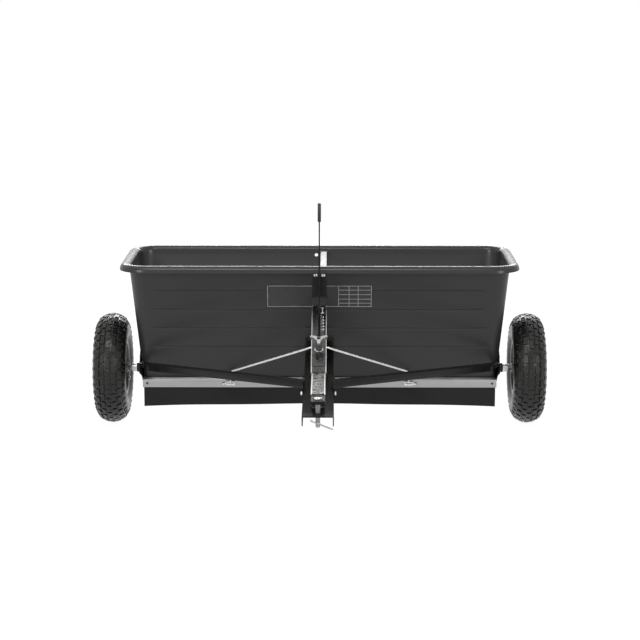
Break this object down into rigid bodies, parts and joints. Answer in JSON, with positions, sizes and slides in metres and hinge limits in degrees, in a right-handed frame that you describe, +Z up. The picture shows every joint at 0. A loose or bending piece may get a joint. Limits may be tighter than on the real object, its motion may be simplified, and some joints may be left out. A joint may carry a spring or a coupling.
{
  "type": "tow-behind drop spreader",
  "caption": "Tow-behind drop spreader: long tapered plastic hopper on two pneumatic wheels, braced drawbar with pin hitch, sloped flow scale, lever and sliding shut-off plate with skirt.",
  "frame": {"origin": "on the ground, under the middle of the bounding box; the axle line is 0.34 m behind it at height 0.1675 m", "axes": "+X to the right of someone who stands at the hitch and faces the hopper, -Y towards the tow vehicle, +Z up"},
  "size_m": [1.38, 1.104, 0.7048],
  "materials": {
    "hopper_plastic": "moulded charcoal polyethylene, slight sheen",
    "black_paint": "black powder coat, satin",
    "zinc": "bright zinc plate",
    "galvanised": "galvanised sheet, dull with fine spangle",
    "tyre_rubber": "black rubber, matt",
    "rim_grey": "grey paint, satin",
    "skirt_rubber": "black sheet rubber, matt",
    "grip_plastic": "black moulded plastic",
    "knob_grey": "grey moulded plastic",
    "bush_nylon": "off-white nylon",
    "steel": "plain drawn steel"
  },
  "bodies": {
    "frame": {"hopper": "hopper_plastic", "end_plate_left": "black_paint", "end_plate_right": "black_paint", "axle_bearing_left": "grip_plastic", "axle_bearing_right": "grip_plastic", "metering_pan": "galvanised", "drawbar_channel": "black_paint", "drawbar_bolt_left": "zinc", "drawbar_bolt_right": "zinc", "tongue_tube": "galvanised", "tube_bolt_front": "zinc", "tube_bolt_rear": "zinc", "lever_pivot_bolt": "zinc", "hitch_plate": "black_paint", "flow_bracket": "black_paint", "scale_plate": "galvanised", "bracket_bolt_left": "zinc", "bracket_bolt_right": "zinc", "bracket_cross_bolt": "zinc", "cross_strap": "galvanised", "strap_bolt": "zinc", "brace_left": "black_paint", "brace_right": "black_paint"},
    "drive_axle": {"axle": "steel", "axle_spacer_left": "zinc", "axle_spacer_right": "zinc", "axle_hairpin_left": "zinc", "axle_hairpin_right": "zinc", "end_hairpin_left": "zinc", "end_hairpin_right": "zinc", "end_washer_left": "zinc", "end_washer_right": "zinc", "drive_pin": "steel", "tyre_left": "tyre_rubber", "rim_left": "rim_grey", "valve_left": "tyre_rubber", "hub_bush_left_inner": "bush_nylon", "hub_bush_left_outer": "bush_nylon"},
    "free_wheel": {"tyre_right": "tyre_rubber", "rim_right": "rim_grey", "valve_right": "tyre_rubber", "hub_bush_right_inner": "bush_nylon", "hub_bush_right_outer": "bush_nylon"},
    "flow_lever": {"lever": "zinc", "lever_grip": "grip_plastic"},
    "shutoff": {"shutoff_plate": "galvanised", "skirt_strip": "galvanised", "skirt": "skirt_rubber", "rod_tab_left": "zinc", "rod_tab_right": "zinc", "control_rod": "zinc", "rod_hairpin_left": "zinc", "rod_hairpin_right": "zinc"},
    "stop": {"stop_bolt": "zinc", "stop_washer": "zinc"},
    "knob": {"stop_knob": "knob_grey"},
    "hitch_pin_set": {"hitch_pin": "zinc", "hitch_hairpin": "zinc"}
  },
  "joints": [
    {"name": "axle_spin", "type": "hinge", "parent": "frame", "child": "drive_axle", "pos_m": [0, 0.34, 0.1675], "axis": [1, 0, 0], "continuous": true},
    {"name": "free_wheel_spin", "type": "hinge", "parent": "drive_axle", "child": "free_wheel", "pos_m": [0.632, 0.34, 0.1675], "axis": [1, 0, 0], "continuous": true},
    {"name": "lever_swing", "type": "hinge", "parent": "frame", "child": "flow_lever", "pos_m": [0, 0.078, 0.25735], "axis": [1, 0, 0], "range_deg": [0, 38]},
    {"name": "shutoff_slide", "type": "slide", "parent": "frame", "child": "shutoff", "axis": [0, -1, 0], "range_m": [0, 0.0202]},
    {"name": "stop_slide", "type": "slide", "parent": "frame", "child": "stop", "axis": [0, 0.9403, 0.3404], "range_m": [0, 0.08]},
    {"name": "knob_turn", "type": "hinge", "parent": "stop", "child": "knob", "pos_m": [0, -0.10687, 0.31784], "axis": [0, -0.3404, 0.9403], "range_deg": [0, 360]},
    {"name": "hitch_pin_turn", "type": "hinge", "parent": "frame", "child": "hitch_pin_set", "pos_m": [0, -0.508, 0.2736], "axis": [0, 0, 1], "continuous": true}
  ],
  "couplings": [
    {"joint": "shutoff_slide", "follows": "lever_swing", "m_per_rad": 0.030323}
  ]
}
